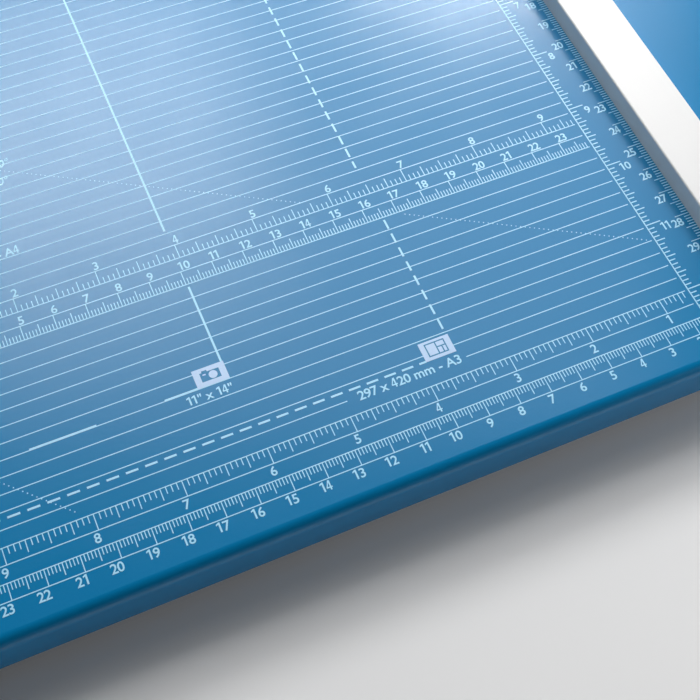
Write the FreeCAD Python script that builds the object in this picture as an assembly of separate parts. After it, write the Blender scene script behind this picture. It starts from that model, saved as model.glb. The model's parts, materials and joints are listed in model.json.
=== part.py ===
import FreeCAD, Part
import math
import os

from FreeCAD import Vector

# Rotary paper trimmer, in millimetres.
# +X runs along the cutting line, +Y from the operator's edge towards the rail, +Z up.
# The origin is under the middle of the table, on the surface that the feet stand on.

# Driving dimensions of the table
CUT_LENGTH = 510.0
TABLE_LENGTH = 690.0
TABLE_DEPTH = 360.0
TABLE_TOP = 20.0
FOOT_HEIGHT = 5.0
SHEET = 1.5
TABLE_BEND = 3.5
TABLE_CORNER = 8.0
CUT_Y = 151.0

# Side stops
STOP_WIDTH = 18.0
STOP_HEIGHT = 7.5
STOP_FRONT = -322.0
STOP_BACK = -67.0

# Groove under the cutting line, with the fixed blade on its front edge
GROOVE_HALF = 290.0
GROOVE_FRONT = -12.0
GROOVE_BACK = 7.5
SUPPORT_HALF = 296.0
FIXED_BLADE_THICK = 3.0
FIXED_BLADE_SCREWS = 9

# Rail and its end brackets
RAIL_MIDDLE_Y = -26.0
RAIL_WIDTH = 28.0
RAIL_BOTTOM = 30.0
RAIL_HEIGHT = 22.0
RAIL_WALL = 2.5
RAIL_PORT_SPREAD = 7.0
RAIL_PORT_RADIUS = 2.0
BRACKET_INNER = 318.0
BRACKET_OUTER = 343.0
RAIL_HALF = 331.0
BUMPER = 3.0

# Clamp strip, raised by its springs
CLAMP_HALF = 306.0
CLAMP_FRONT = -62.0
CLAMP_BACK = -2.0
CLAMP_THICK = 2.5
CLAMP_LIFT = 2.2
CLAMP_SCREW_X = 296.0
CLAMP_SCREW_Y = (-46.0, -26.0)
CLAMP_SCREW_RADIUS = 1.5
SPRING_SEAT = 13.0

# Cutting head, parked at the right-hand end
HEAD_X = 264.0
HEAD_HALF = 50.0
HEAD_BOTTOM = 26.5
HEAD_TOP = 92.0
HEAD_WALL = 2.4
CARRIAGE_HALF = 42.0
GRIP_THICK = 1.6

# Round blade and its axle
BLADE_RADIUS = 22.5
BLADE_DIP = 1.5
BLADE_THICK = 1.0
BLADE_GAP = 0.1
BLADE_EDGE = 3.0
AXLE_RADIUS = 3.0
RUNNING_FIT = 0.05
BLADE_AXIS_Z = TABLE_TOP + BLADE_RADIUS - BLADE_DIP

# Presser roller, which rolls along the clamp strip
ROLLER_RADIUS = 7.0
ROLLER_FRONT = -57.5
ROLLER_BACK = -47.0
ROLLER_AXLE_RADIUS = 2.0
ROLLER_CLEARANCE = 0.3
CLAMP_TOP = TABLE_TOP + CLAMP_LIFT + CLAMP_THICK
ROLLER_AXIS_Z = CLAMP_TOP + ROLLER_CLEARANCE + ROLLER_RADIUS

# Feet
FOOT_RADIUS = 9.0
REAR_FOOT_RADIUS = 8.0
FOOT_STUD_RADIUS = 2.5

UNDERSIDE = TABLE_TOP - SHEET
X_AXIS = Vector(1, 0, 0)
Y_AXIS = Vector(0, 1, 0)
Z_AXIS = Vector(0, 0, 1)


def save(name, shape):
    """Write one named piece, or one group of equal pieces, as STEP."""
    if not shape.isValid():
        raise ValueError(name + " is not a valid shape")
    shape.exportStep("parts/" + name + ".step")
    print(name, len(shape.Solids), "solids", round(shape.Volume, 1), "mm3")


def block(x0, x1, y0, y1, z0, z1):
    """Box between two corners; y is counted from the cutting line."""
    return Part.makeBox(x1 - x0, y1 - y0, z1 - z0, Vector(x0, CUT_Y + y0, z0))


def upright(x, y, z0, z1, radius):
    """Vertical cylinder; y is counted from the cutting line."""
    return Part.makeCylinder(radius, z1 - z0, Vector(x, CUT_Y + y, z0), Z_AXIS)


def along_y(x, z, y0, y1, radius):
    """Cylinder parallel to Y; y is counted from the cutting line."""
    return Part.makeCylinder(radius, y1 - y0, Vector(x, CUT_Y + y0, z), Y_AXIS)


def along_x(y, z, x0, x1, radius):
    """Cylinder parallel to X; y is counted from the cutting line."""
    return Part.makeCylinder(radius, x1 - x0, Vector(x0, CUT_Y + y, z), X_AXIS)


def merge(shapes):
    """One shape from several, with the seams between touching faces removed."""
    whole = shapes[0]
    for shape in shapes[1:]:
        whole = whole.fuse(shape)
    return whole.removeSplitter()


def cut_all(shape, tools):
    for tool in tools:
        shape = shape.cut(tool)
    return shape


def mirrored(shape):
    """The same piece at the other end of the table."""
    return shape.mirror(Vector(0, 0, 0), X_AXIS)


def rounded_wire(points, radii):
    """Closed outline of straight runs, with a tangent arc of the given radius at each corner."""
    count = len(points)
    starts = []
    middles = []
    ends = []
    for i in range(count):
        corner = points[i]
        to_last = (points[i - 1] - corner).normalize()
        to_next = (points[(i + 1) % count] - corner).normalize()
        half = to_last.getAngle(to_next) / 2
        reach = radii[i] / math.tan(half)
        bisector = (to_last + to_next).normalize()
        starts.append(corner + to_last * reach)
        ends.append(corner + to_next * reach)
        middles.append(corner + bisector * (radii[i] / math.sin(half) - radii[i]))
    edges = []
    for i in range(count):
        if radii[i] > 0:
            edges.append(Part.Arc(starts[i], middles[i], ends[i]).toShape())
        following = starts[(i + 1) % count]
        if (following - ends[i]).Length > 1e-6:
            edges.append(Part.LineSegment(ends[i], following).toShape())
    return Part.Wire(edges)


def side_face(outline, x, inset=0.0):
    """Face in a plane of constant x from (y, z, radius) corners; y is counted from the cutting line."""
    points = [Vector(x, CUT_Y + y, z) for y, z, radius in outline]
    face = Part.Face(rounded_wire(points, [radius for y, z, radius in outline]))
    if inset:
        face = face.makeOffset2D(-inset)
    return face


def side_prism(outline, x0, x1, inset=0.0):
    return side_face(outline, x0, inset).extrude(X_AXIS * (x1 - x0))


def coil(radius, wire_radius, height, turns):
    """Coil spring standing on the origin along +Z."""
    run = height - 2 * wire_radius
    helix = Part.makeHelix(run / turns, run, radius)
    section = Part.Wire([Part.makeCircle(wire_radius, Vector(radius, 0, 0), Y_AXIS)])
    spring = Part.Wire(helix.Edges).makePipeShell([section], True, True)
    spring.translate(Vector(0, 0, wire_radius))
    return spring


# Table


def table_form(inset):
    """Closed block with the outside form of the table, shrunk by inset."""
    length = TABLE_LENGTH - 2 * inset
    depth = TABLE_DEPTH - 2 * inset
    bottom = FOOT_HEIGHT - inset
    height = TABLE_TOP - inset - bottom
    body = Part.makeBox(length, depth, height, Vector(-length / 2, -depth / 2, bottom))
    corners = [e for e in body.Edges if abs(e.tangentAt(0).z) > 0.9]
    body = body.makeFillet(TABLE_CORNER - inset, corners)
    top = TABLE_TOP - inset
    rim = [e for e in body.Edges if e.BoundBox.ZMin > top - 0.01]
    return body.makeFillet(TABLE_BEND - inset, rim)


def stop_screw_places():
    middle = CUT_LENGTH / 2 + STOP_WIDTH / 2
    return [(side * middle, y) for side in (-1, 1) for y in (-302.0, -195.0, -88.0)]


def bracket_screw_places():
    middle = (BRACKET_INNER + BRACKET_OUTER) / 2
    return [(side * middle, y) for side in (-1, 1) for y in (-52.0, 10.0)]


def clamp_screw_places():
    return [(side * CLAMP_SCREW_X, y) for side in (-1, 1) for y in CLAMP_SCREW_Y]


def fixed_blade_screw_places():
    pitch = 2 * (GROOVE_HALF - 15) / (FIXED_BLADE_SCREWS - 1)
    return [(-(GROOVE_HALF - 15) + i * pitch, -6.5) for i in range(FIXED_BLADE_SCREWS)]


def base_tray():
    """Bent steel table with a skirt all round and the long groove under the cutting line."""
    tray = table_form(0).cut(table_form(SHEET))
    tray = tray.cut(block(-GROOVE_HALF, GROOVE_HALF, GROOVE_FRONT, GROOVE_BACK, 10, 30))
    holes = [upright(x, y, 15, 25, 1.8) for x, y in stop_screw_places()]
    holes += [upright(x, y, 15, 25, 2.2) for x, y in bracket_screw_places()]
    holes += [upright(x, y, 15, 25, 4.2) for x, y in clamp_screw_places()]
    return cut_all(tray, holes)


def blade_support():
    """Aluminium profile under the groove, which carries the fixed blade and closes the groove below."""
    seat = TABLE_TOP - FIXED_BLADE_THICK
    outline = [
        (-18.0, 10.0, 0),
        (12.0, 10.0, 0),
        (12.0, UNDERSIDE, 0),
        (GROOVE_BACK, UNDERSIDE, 0),
        (GROOVE_BACK, 13.0, 1.0),
        (-0.5, 13.0, 1.0),
        (-0.5, seat, 0),
        (GROOVE_FRONT, seat, 0),
        (GROOVE_FRONT, UNDERSIDE, 0),
        (-18.0, UNDERSIDE, 0),
    ]
    bar = side_prism(outline, -SUPPORT_HALF, SUPPORT_HALF)
    return cut_all(bar, [upright(x, y, 12, 25, 1.25) for x, y in fixed_blade_screw_places()])


def countersunk_screw(x, y, top, bottom, head_radius, radius):
    drop = head_radius - radius
    cone = Part.makeCone(radius, head_radius, drop, Vector(x, CUT_Y + y, top - drop), Z_AXIS)
    return merge([upright(x, y, bottom, top - drop, radius), cone])


def fixed_blade():
    bar = block(
        -GROOVE_HALF + 0.3,
        GROOVE_HALF - 0.3,
        GROOVE_FRONT + 0.2,
        0,
        TABLE_TOP - FIXED_BLADE_THICK,
        TABLE_TOP,
    )
    for x, y in fixed_blade_screw_places():
        bar = bar.cut(countersunk_screw(x, y, TABLE_TOP, 15, 2.6, 1.25))
    return bar


def fixed_blade_screws():
    """Countersunk screws with a straight driver slot, just under the ground face."""
    screws = []
    for x, y in fixed_blade_screw_places():
        screw = countersunk_screw(x, y, TABLE_TOP - 0.1, 13.4, 2.5, 1.25)
        slot = block(x - 3, x + 3, y - 0.3, y + 0.3, TABLE_TOP - 0.8, TABLE_TOP)
        screws.append(screw.cut(slot))
    return Part.makeCompound(screws)


def stiffener(middle):
    """Hat section under the table, running from front to back."""
    wall = 1.2
    hat = block(middle - 16, middle + 16, -295, -70, 8, UNDERSIDE)
    inner = block(middle - 16 + wall, middle + 16 - wall, -296, -69, 8 + wall, UNDERSIDE + 1)
    flanges = block(middle - 26, middle + 26, -295, -70, UNDERSIDE - wall, UNDERSIDE)
    return merge([hat, flanges]).cut(inner)


def side_stop():
    """Right-hand stop bar that a sheet is squared against."""
    inner = CUT_LENGTH / 2
    bar = block(inner, inner + STOP_WIDTH, STOP_FRONT, STOP_BACK, TABLE_TOP, TABLE_TOP + STOP_HEIGHT)
    top = TABLE_TOP + STOP_HEIGHT
    soft = [e for e in bar.Edges if e.BoundBox.ZMax > top - 0.01]
    bar = bar.makeFillet(0.6, soft)
    holes = [upright(x, y, 19, 25.6, 1.6) for x, y in stop_screw_places() if x > 0]
    return cut_all(bar, holes)


def under_screws(places, radius, head_radius, top):
    """Screws with round heads under the table that reach up to the given height."""
    screws = []
    for x, y in places:
        shank = upright(x, y, UNDERSIDE - 0.5, top, radius)
        head = upright(x, y, UNDERSIDE - 2.2, UNDERSIDE, head_radius)
        cross = merge([
            block(x - 1.6, x + 1.6, y - 0.35, y + 0.35, UNDERSIDE - 3, UNDERSIDE - 1.2),
            block(x - 0.35, x + 0.35, y - 1.6, y + 1.6, UNDERSIDE - 3, UNDERSIDE - 1.2),
        ])
        screws.append(merge([shank, head]).cut(cross))
    return Part.makeCompound(screws)


def foot_places():
    """Foot name to its x, its y from the cutting line, and its radius."""
    return {
        "foot_front_left": (-322.0, -311.0, FOOT_RADIUS),
        "foot_front_middle": (0.0, -311.0, FOOT_RADIUS),
        "foot_front_right": (322.0, -311.0, FOOT_RADIUS),
        "foot_rear_left": (-308.0, 15.5, REAR_FOOT_RADIUS),
        "foot_rear_middle": (0.0, -42.0, FOOT_RADIUS),
        "foot_rear_right": (308.0, 15.5, REAR_FOOT_RADIUS),
    }


def foot(x, y, radius):
    """Rubber foot pushed onto a welded stud, with a hollow in its sole."""
    body = upright(x, y, 0, UNDERSIDE, radius)
    sole = [e for e in body.Edges if e.BoundBox.ZMax < 0.01]
    body = body.makeFillet(1.0, sole)
    return cut_all(body, [upright(x, y, -1, 1.5, radius - 3), upright(x, y, 6, 20, FOOT_STUD_RADIUS)])


def foot_studs():
    return Part.makeCompound([
        upright(x, y, 6, UNDERSIDE, FOOT_STUD_RADIUS) for x, y, radius in foot_places().values()
    ])


# Rail and end brackets


def rail_outline(gap=0.0):
    """Rail section as (y, z, radius) corners, grown by gap."""
    half = RAIL_WIDTH / 2 + gap
    low = RAIL_BOTTOM - gap
    high = RAIL_BOTTOM + RAIL_HEIGHT + gap
    radius = 2.0
    return [
        (RAIL_MIDDLE_Y - half, low, radius),
        (RAIL_MIDDLE_Y + half, low, radius),
        (RAIL_MIDDLE_Y + half, high, radius),
        (RAIL_MIDDLE_Y - half, high, radius),
    ]


def rail_port_places():
    middle = RAIL_BOTTOM + RAIL_HEIGHT / 2
    return [(RAIL_MIDDLE_Y + side * RAIL_PORT_SPREAD, middle) for side in (-1, 1)]


def rail():
    """Hollow aluminium profile with two screw ports and a web between them."""
    tube = side_prism(rail_outline(), -RAIL_HALF, RAIL_HALF)
    hollow = side_prism(rail_outline(), -RAIL_HALF, RAIL_HALF, RAIL_WALL)
    ports = [along_x(y, z, -RAIL_HALF, RAIL_HALF, RAIL_PORT_RADIUS + 1.8) for y, z in rail_port_places()]
    middle = RAIL_BOTTOM + RAIL_HEIGHT / 2
    web = block(
        -RAIL_HALF,
        RAIL_HALF,
        RAIL_MIDDLE_Y - RAIL_WIDTH / 2 + 1,
        RAIL_MIDDLE_Y + RAIL_WIDTH / 2 - 1,
        middle - 0.8,
        middle + 0.8,
    )
    profile = merge([tube.cut(hollow), web] + ports)
    holes = [along_x(y, z, -RAIL_HALF, RAIL_HALF, RAIL_PORT_RADIUS) for y, z in rail_port_places()]
    return cut_all(profile, holes)


BRACKET_OUTLINE = [
    (-64.0, TABLE_TOP, 0),
    (-64.0, 42.0, 12.0),
    (-46.0, 70.0, 16.0),
    (-34.0, 80.0, 10.0),
    (-8.0, 80.0, 16.0),
    (27.0, 50.0, 18.0),
    (27.0, TABLE_TOP, 0),
]


def end_bracket():
    """Right-hand moulded bracket: hollow below, with a solid seat for the rail and two screw bosses."""
    outer = side_prism(BRACKET_OUTLINE, BRACKET_INNER, BRACKET_OUTER)
    faces = (BRACKET_INNER, BRACKET_OUTER)
    rim = [
        e
        for e in outer.Edges
        if any(abs(e.BoundBox.XMin - x) + abs(e.BoundBox.XMax - x) < 0.01 for x in faces)
        and e.BoundBox.ZMax > TABLE_TOP + 0.01
    ]
    outer = outer.makeFillet(1.5, rim)
    pocket = side_prism(BRACKET_OUTLINE, BRACKET_INNER + 3, BRACKET_OUTER - 3, 3.0)
    mouth = block(BRACKET_INNER + 3, BRACKET_OUTER - 3, -61, 24, TABLE_TOP - 1, TABLE_TOP + 6)
    seat = block(BRACKET_INNER + 1, BRACKET_OUTER - 1, -45, -7, TABLE_TOP + 4, 57)
    keep = [seat]
    for x, y in bracket_screw_places():
        if x > 0:
            keep.append(upright(x, y, TABLE_TOP, 90, 5))
    bracket = outer.cut(cut_all(merge([pocket, mouth]), keep))
    bracket = bracket.cut(side_prism(rail_outline(), BRACKET_INNER - 1, RAIL_HALF))
    bores = [along_x(y, z, BRACKET_INNER, BRACKET_OUTER + 1, 2.2) for y, z in rail_port_places()]
    bores += [upright(x, y, 19, 31, 1.7) for x, y in bracket_screw_places() if x > 0]
    return cut_all(bracket, bores)


def rail_screws():
    """Pan-head screws through both brackets into the rail's screw ports."""
    screws = []
    for y, z in rail_port_places():
        shank = along_x(y, z, RAIL_HALF - 18, BRACKET_OUTER, RAIL_PORT_RADIUS)
        head = along_x(y, z, BRACKET_OUTER, BRACKET_OUTER + 1.8, 4.0)
        rim = [e for e in head.Edges if e.BoundBox.XMin > BRACKET_OUTER + 1.7]
        head = head.makeFillet(1.0, rim)
        drive = along_x(y, z, BRACKET_OUTER + 0.6, BRACKET_OUTER + 3, 1.4)
        screw = merge([shank, head]).cut(drive)
        screws += [screw, mirrored(screw)]
    return Part.makeCompound(screws)


def bumper():
    """Rubber buffer round the rail against the inner face of the right-hand bracket."""
    inner = BRACKET_INNER - BUMPER
    ring = [(-45.0, 27.5, 3.0), (-7.0, 27.5, 3.0), (-7.0, 57.0, 3.0), (-45.0, 57.0, 3.0)]
    return side_prism(ring, inner, BRACKET_INNER).cut(side_prism(rail_outline(), inner, BRACKET_INNER))


# Clamp


def clamp_strip():
    """Clear strip that holds the paper down beside the cutting line, with a lead-in edge and bevel."""
    low = TABLE_TOP + CLAMP_LIFT
    outline = [
        (CLAMP_FRONT, low + 1.2, 0.3),
        (CLAMP_FRONT + 4.0, low, 0),
        (CLAMP_BACK, low, 0),
        (CLAMP_BACK, low + 1.0, 0),
        (CLAMP_BACK - 2.0, CLAMP_TOP, 0),
        (CLAMP_FRONT + 0.6, CLAMP_TOP, 0.5),
    ]
    strip = side_prism(outline, -CLAMP_HALF, CLAMP_HALF)
    return cut_all(strip, [upright(x, y, 20, 30, 1.9) for x, y in clamp_screw_places()])


def spring_cups():
    """Pressed cups under the table that the clamp springs stand in."""
    cups = []
    for x, y in clamp_screw_places():
        cup = upright(x, y, SPRING_SEAT - SHEET, UNDERSIDE, 5.2)
        bore = upright(x, y, SPRING_SEAT, UNDERSIDE + 1, 4.2)
        cups.append(cut_all(cup, [bore, upright(x, y, 5, 20, CLAMP_SCREW_RADIUS)]))
    return Part.makeCompound(cups)


def clamp_screws():
    """Shoulder screws that guide the clamp strip and stop it at its raised height."""
    screws = []
    for x, y in clamp_screw_places():
        shank = upright(x, y, 8, CLAMP_TOP + 0.1, CLAMP_SCREW_RADIUS)
        head = upright(x, y, CLAMP_TOP + 0.1, CLAMP_TOP + 1.2, 3.4)
        nut = upright(x, y, 8.6, SPRING_SEAT - SHEET, 3.2)
        slot = block(x - 4, x + 4, y - 0.35, y + 0.35, CLAMP_TOP + 0.6, CLAMP_TOP + 2)
        screws.append(merge([shank, head, nut]).cut(slot))
    return Part.makeCompound(screws)


def clamp_spring(x, y):
    """Coil spring round one shoulder screw, between its cup and the clamp strip."""
    spring = coil(2.9, 0.35, TABLE_TOP + CLAMP_LIFT - SPRING_SEAT, 5)
    spring.translate(Vector(x, CUT_Y + y, SPRING_SEAT))
    return spring


# Cutting head

HEAD_SIDE = [
    (-66.0, HEAD_BOTTOM, 2.0),
    (-66.0, 44.0, 12.0),
    (-50.0, 76.0, 16.0),
    (-38.0, HEAD_TOP, 14.0),
    (-4.0, HEAD_TOP, 16.0),
    (24.0, 62.0, 18.0),
    (24.0, HEAD_BOTTOM, 2.0),
]
HEAD_FRONT = [
    (-HEAD_HALF, HEAD_BOTTOM, 2.5),
    (HEAD_HALF, HEAD_BOTTOM, 2.5),
    (HEAD_HALF, 56.0, 16.0),
    (36.0, HEAD_TOP, 13.0),
    (-36.0, HEAD_TOP, 13.0),
    (-HEAD_HALF, 56.0, 16.0),
]
HEAD_SPLIT = RAIL_MIDDLE_Y
HEAD_SCREW_X = 35.0
HEAD_SCREW_Z = 35.0


def head_form(inset):
    """Where the side outline and the front outline of the head meet, shrunk by inset."""
    side = side_prism(HEAD_SIDE, HEAD_X - 60, HEAD_X + 60, inset)
    points = [Vector(HEAD_X + x, CUT_Y - 80, z) for x, z, radius in HEAD_FRONT]
    face = Part.Face(rounded_wire(points, [radius for x, z, radius in HEAD_FRONT]))
    if inset:
        face = face.makeOffset2D(-inset)
    return side.common(face.extrude(Y_AXIS * 120))


def head_bosses():
    """Ends of the screw bosses on the carriage: x, y at the carriage, y at the shell."""
    bosses = []
    for side in (-1, 1):
        bosses.append((HEAD_X + side * HEAD_SCREW_X, -44.0, -66.0 + HEAD_WALL))
        bosses.append((HEAD_X + side * HEAD_SCREW_X, -8.0, 24.0 - HEAD_WALL))
    return bosses


def head_shells():
    """Front and rear shells of the head, open below, with the passage for the rail."""
    inner = head_form(HEAD_WALL)
    lower = inner.copy()
    lower.translate(Vector(0, 0, -HEAD_WALL - 1))
    shell = cut_all(head_form(0), [inner, lower])
    shell = shell.cut(side_prism(rail_outline(1.0), HEAD_X - 60, HEAD_X + 60))
    shell = shell.cut(block(HEAD_X - 60, HEAD_X + 60, -41, -11, 20, 40))
    holes = [along_y(HEAD_X + s * HEAD_SCREW_X, HEAD_SCREW_Z, -70, 30, 1.8) for s in (-1, 1)]
    shell = cut_all(shell, holes)
    front = shell.common(block(HEAD_X - 60, HEAD_X + 60, -70, HEAD_SPLIT, 20, 100))
    rear = shell.common(block(HEAD_X - 60, HEAD_X + 60, HEAD_SPLIT, 30, 20, 100))
    return front, rear


def head_grip():
    """Soft pad moulded over the crown of the head."""
    pad = head_form(-GRIP_THICK).cut(head_form(0))
    window = [
        Vector(HEAD_X - 33, CUT_Y - 49, 70),
        Vector(HEAD_X + 33, CUT_Y - 49, 70),
        Vector(HEAD_X + 33, CUT_Y + 8, 70),
        Vector(HEAD_X - 33, CUT_Y + 8, 70),
    ]
    column = Part.Face(rounded_wire(window, [14.0] * 4)).extrude(Z_AXIS * 40)
    return pad.common(column)


def head_carriage():
    """Slider that wraps the rail, with lips under it and bosses for the shells and axles."""
    x0 = HEAD_X - CARRIAGE_HALF
    x1 = HEAD_X + CARRIAGE_HALF
    body = block(x0, x1, -46, -6, HEAD_BOTTOM - 0.3, 60)
    body = body.cut(block(x0, x1, -42, -10, RAIL_BOTTOM - 0.4, 54))
    body = body.cut(block(x0, x1, -34, -18, 20, 35))
    pieces = [body]
    for x, y_carriage, y_shell in head_bosses():
        low = min(y_carriage, y_shell)
        high = max(y_carriage, y_shell)
        pieces.append(along_y(x, HEAD_SCREW_Z, low, high, 4.0))
    carriage = merge(pieces)
    tools = [
        along_y(HEAD_X, BLADE_AXIS_Z, -10, 0, AXLE_RADIUS),
        along_y(HEAD_X, ROLLER_AXIS_Z, -50, -42, ROLLER_AXLE_RADIUS),
    ]
    for x, y_carriage, y_shell in head_bosses():
        inward = 12 if y_shell < y_carriage else -12
        low = min(y_shell, y_shell + inward)
        high = max(y_shell, y_shell + inward)
        tools.append(along_y(x, HEAD_SCREW_Z, low, high, 1.5))
    return cut_all(carriage, tools)


def glide_liners():
    """Low-friction liners between the carriage and the rail."""
    gap = 0.2
    half = CARRIAGE_HALF - 2
    front = RAIL_MIDDLE_Y - RAIL_WIDTH / 2
    back = RAIL_MIDDLE_Y + RAIL_WIDTH / 2
    top = RAIL_BOTTOM + RAIL_HEIGHT
    return {
        "glide_liner_top": block(HEAD_X - half, HEAD_X + half, front + 2, back - 2, top + gap, 54),
        "glide_liner_front": block(HEAD_X - half, HEAD_X + half, -42, front - gap, 32, 50),
        "glide_liner_rear": block(HEAD_X - half, HEAD_X + half, back + gap, -10, 32, 50),
    }


def head_screws():
    """Pan-head screws that hold the two shells to the carriage."""
    screws = []
    for x, y_carriage, y_shell in head_bosses():
        outward = -1 if y_shell < y_carriage else 1
        face = y_shell + outward * HEAD_WALL
        inner = y_shell - outward * 11
        low = min(inner, face)
        high = max(inner, face)
        tip = face + outward * 1.5
        head = along_y(x, HEAD_SCREW_Z, min(face, tip), max(face, tip), 3.2)
        drive = along_y(x, HEAD_SCREW_Z, min(face, tip) - 0.5, max(face, tip) + 0.5, 1.1)
        shank = along_y(x, HEAD_SCREW_Z, low, high, 1.5)
        screws.append(merge([shank, head.cut(drive)]))
    return Part.makeCompound(screws)


def blade_axle():
    """Axle of the round blade, held in the carriage, with a collar in front of the blade."""
    shaft = along_y(HEAD_X, BLADE_AXIS_Z, -10, 16, AXLE_RADIUS)
    collar = along_y(HEAD_X, BLADE_AXIS_Z, -6, -0.3, 5.5)
    return merge([shaft, collar])


def round_blade():
    """Thin steel disc, bevelled on its rear side, that runs against the fixed blade."""
    front = BLADE_GAP
    back = BLADE_GAP + BLADE_THICK
    disc = along_y(HEAD_X, BLADE_AXIS_Z, front, back, BLADE_RADIUS - BLADE_EDGE)
    edge = Part.makeCone(
        BLADE_RADIUS,
        BLADE_RADIUS - BLADE_EDGE,
        BLADE_THICK,
        Vector(HEAD_X, CUT_Y + front, BLADE_AXIS_Z),
        Y_AXIS,
    )
    disc = merge([edge, disc])
    ring = [along_y(HEAD_X, BLADE_AXIS_Z, front - 1, back + 1, AXLE_RADIUS + RUNNING_FIT)]
    for i in range(3):
        angle = math.radians(90 + 120 * i)
        x = HEAD_X + 12.5 * math.cos(angle)
        z = BLADE_AXIS_Z + 12.5 * math.sin(angle)
        ring.append(along_y(x, z, front - 1, back + 1, 1.6))
    return cut_all(disc, ring)


def blade_hub():
    """Moulded hub with three pegs that drive the round blade."""
    back = BLADE_GAP + BLADE_THICK
    hub = merge([
        along_y(HEAD_X, BLADE_AXIS_Z, back, back + 1.8, 16.0),
        along_y(HEAD_X, BLADE_AXIS_Z, back, back + 4.6, 6.0),
    ])
    pegs = []
    for i in range(3):
        angle = math.radians(90 + 120 * i)
        x = HEAD_X + 12.5 * math.cos(angle)
        z = BLADE_AXIS_Z + 12.5 * math.sin(angle)
        pegs.append(along_y(x, z, BLADE_GAP + 0.3, back + 0.5, 1.6))
    return merge([hub] + pegs).cut(along_y(HEAD_X, BLADE_AXIS_Z, -1, 10, AXLE_RADIUS + RUNNING_FIT))


def blade_spring():
    """Spring that pushes the blade against the fixed blade."""
    spring = coil(4.4, 0.4, 5.8, 3)
    spring.rotate(Vector(0, 0, 0), X_AXIS, -90)
    spring.translate(Vector(HEAD_X, CUT_Y + 6.0, BLADE_AXIS_Z))
    return spring


def blade_nut():
    """Hexagon nut on the end of the axle that backs the spring."""
    corners = []
    for i in range(6):
        angle = math.radians(60 * i)
        corners.append(Vector(HEAD_X + 5.8 * math.cos(angle), CUT_Y + 12, BLADE_AXIS_Z + 5.8 * math.sin(angle)))
    nut = Part.Face(Part.makePolygon(corners + corners[:1])).extrude(Y_AXIS * 3.5)
    return nut.cut(along_y(HEAD_X, BLADE_AXIS_Z, 11, 17, AXLE_RADIUS))


def presser_fork():
    """Steel bracket on the front of the carriage that carries the free end of the roller's axle."""
    bridge = block(HEAD_X - 7, HEAD_X + 7, -61.5, -46, 40.5, 42.5)
    ear = block(HEAD_X - 7, HEAD_X + 7, -61.5, -59, 28.5, 42.5)
    return merge([bridge, ear]).cut(along_y(HEAD_X, ROLLER_AXIS_Z, -65, -55, ROLLER_AXLE_RADIUS))


def presser_axle():
    return along_y(HEAD_X, ROLLER_AXIS_Z, -62, -42.5, ROLLER_AXLE_RADIUS)


def presser_roller():
    roller = along_y(HEAD_X, ROLLER_AXIS_Z, ROLLER_FRONT, ROLLER_BACK, ROLLER_RADIUS)
    rims = [e for e in roller.Edges if e.Length > 6 * ROLLER_RADIUS]
    roller = roller.makeFillet(0.8, rims)
    bore = along_y(HEAD_X, ROLLER_AXIS_Z, ROLLER_FRONT - 1, ROLLER_BACK + 1, ROLLER_AXLE_RADIUS + RUNNING_FIT)
    return roller.cut(bore)


def save_base():
    save("base_tray", base_tray())
    save("blade_support", blade_support())
    save("fixed_blade", fixed_blade())
    save("fixed_blade_screws", fixed_blade_screws())
    for name, middle in (("left", -200.0), ("centre", 0.0), ("right", 200.0)):
        save("stiffener_" + name, stiffener(middle))
    stop = side_stop()
    save("side_stop_right", stop)
    save("side_stop_left", mirrored(stop))
    save("side_stop_screws", under_screws(stop_screw_places(), 1.6, 3.4, 25.5))
    for name, place in foot_places().items():
        save(name, foot(*place))
    save("foot_studs", foot_studs())


def save_rail():
    bracket = end_bracket()
    save("end_bracket_right", bracket)
    save("end_bracket_left", mirrored(bracket))
    save("bracket_screws", under_screws(bracket_screw_places(), 1.7, 3.8, 30.5))
    save("rail", rail())
    save("rail_screws", rail_screws())
    buffer_ring = bumper()
    save("bumper_right", buffer_ring)
    save("bumper_left", mirrored(buffer_ring))


def save_clamp():
    save("clamp_strip", clamp_strip())
    save("spring_cups", spring_cups())
    save("clamp_screws", clamp_screws())
    for x, y in clamp_screw_places():
        side = "left" if x < 0 else "right"
        end = "front" if y == min(CLAMP_SCREW_Y) else "rear"
        save(f"clamp_spring_{side}_{end}", clamp_spring(x, y))


def save_head():
    front, rear = head_shells()
    save("head_shell_front", front)
    save("head_shell_rear", rear)
    save("head_grip", head_grip())
    save("head_carriage", head_carriage())
    for name, liner in glide_liners().items():
        save(name, liner)
    save("head_screws", head_screws())
    save("blade_axle", blade_axle())
    save("round_blade", round_blade())
    save("blade_hub", blade_hub())
    save("blade_spring", blade_spring())
    save("blade_nut", blade_nut())
    save("presser_fork", presser_fork())
    save("presser_axle", presser_axle())
    save("presser_roller", presser_roller())


os.makedirs("parts", exist_ok=True)
save_base()
save_rail()
save_clamp()
save_head()
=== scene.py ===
import json
import math
from collections import namedtuple

import bpy
import bmesh
from mathutils import Matrix, Vector
from mathutils.bvhtree import BVHTree


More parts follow.
